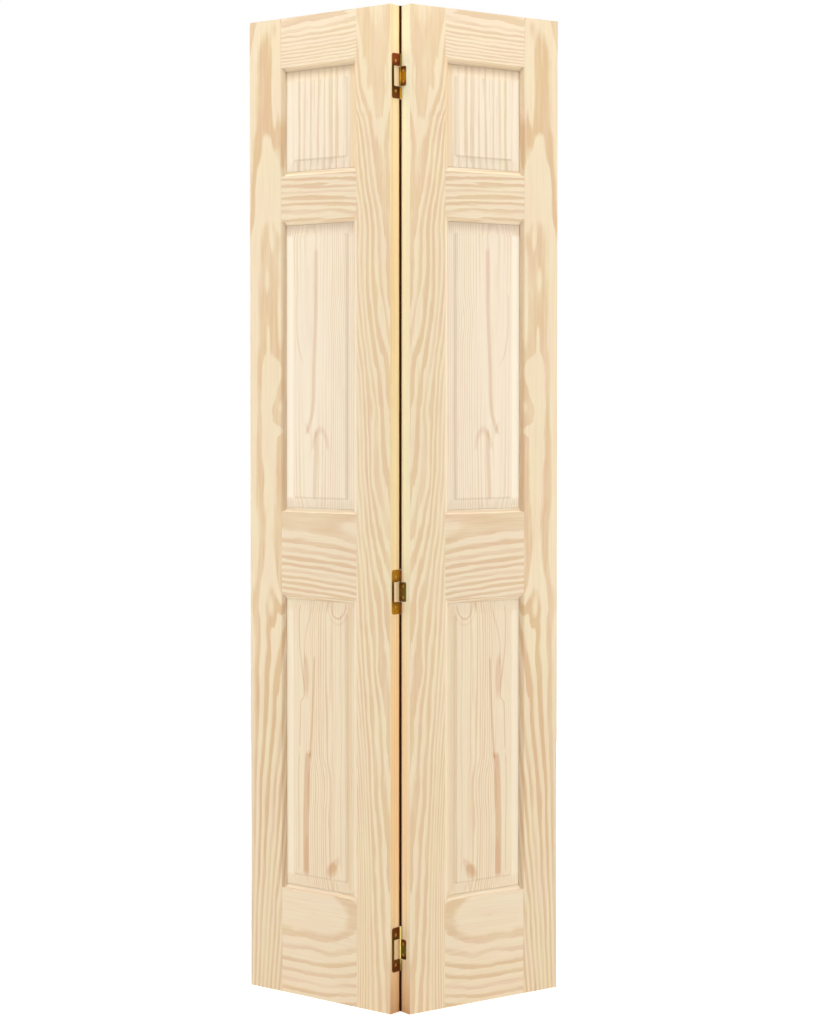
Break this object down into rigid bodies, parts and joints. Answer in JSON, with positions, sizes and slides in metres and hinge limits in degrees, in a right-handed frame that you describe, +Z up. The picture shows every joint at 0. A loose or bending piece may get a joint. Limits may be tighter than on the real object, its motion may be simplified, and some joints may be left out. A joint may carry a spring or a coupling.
{
  "type": "bifold closet door",
  "caption": "Folding closet door: two raised-panel pine leaves joined by surface hinges, standing half folded, bored at the outer edges for pivots and a guide.",
  "frame": {"origin": "middle of the half-folded door's footprint, on the surface it stands on", "axes": "+Z up along the leaves, -Y towards the fold (the room side), +X to the right seen from the room"},
  "size_m": [0.638, 0.2456, 2.0066],
  "materials": {
    "pine_stile": "sanded bare pine",
    "pine_rail": "sanded bare pine",
    "pine_panel": "sanded bare pine",
    "dowel_wood": "bare turned hardwood",
    "hinge_brass": "lacquered stamped brass",
    "pin_brass": "polished brass",
    "screw_brass": "brass-plated screw"
  },
  "bodies": {
    "left_leaf": {"left_outer_stile": "pine_stile", "left_hinge_stile": "pine_stile", "left_top_rail": "pine_rail", "left_frieze_rail": "pine_rail", "left_lock_rail": "pine_rail", "left_bottom_rail": "pine_rail", "left_top_panel": "pine_panel", "left_middle_panel": "pine_panel", "left_bottom_panel": "pine_panel", "left_leaf_dowels": "dowel_wood", "top_hinge_frame_leaf": "hinge_brass", "top_hinge_pin": "pin_brass", "top_hinge_frame_screws": "screw_brass", "middle_hinge_frame_leaf": "hinge_brass", "middle_hinge_pin": "pin_brass", "middle_hinge_frame_screws": "screw_brass", "bottom_hinge_frame_leaf": "hinge_brass", "bottom_hinge_pin": "pin_brass", "bottom_hinge_frame_screws": "screw_brass"},
    "right_leaf": {"right_outer_stile": "pine_stile", "right_hinge_stile": "pine_stile", "right_top_rail": "pine_rail", "right_frieze_rail": "pine_rail", "right_lock_rail": "pine_rail", "right_bottom_rail": "pine_rail", "right_top_panel": "pine_panel", "right_middle_panel": "pine_panel", "right_bottom_panel": "pine_panel", "right_leaf_dowels": "dowel_wood", "top_hinge_tab_leaf": "hinge_brass", "top_hinge_tab_screws": "screw_brass", "middle_hinge_tab_leaf": "hinge_brass", "middle_hinge_tab_screws": "screw_brass", "bottom_hinge_tab_leaf": "hinge_brass", "bottom_hinge_tab_screws": "screw_brass"}
  },
  "joints": [
    {"name": "fold", "type": "hinge", "parent": "left_leaf", "child": "right_leaf", "pos_m": [0, -0.09866, 0], "axis": [0, 0, 1], "range_deg": [-73.3, 106.7]}
  ]
}
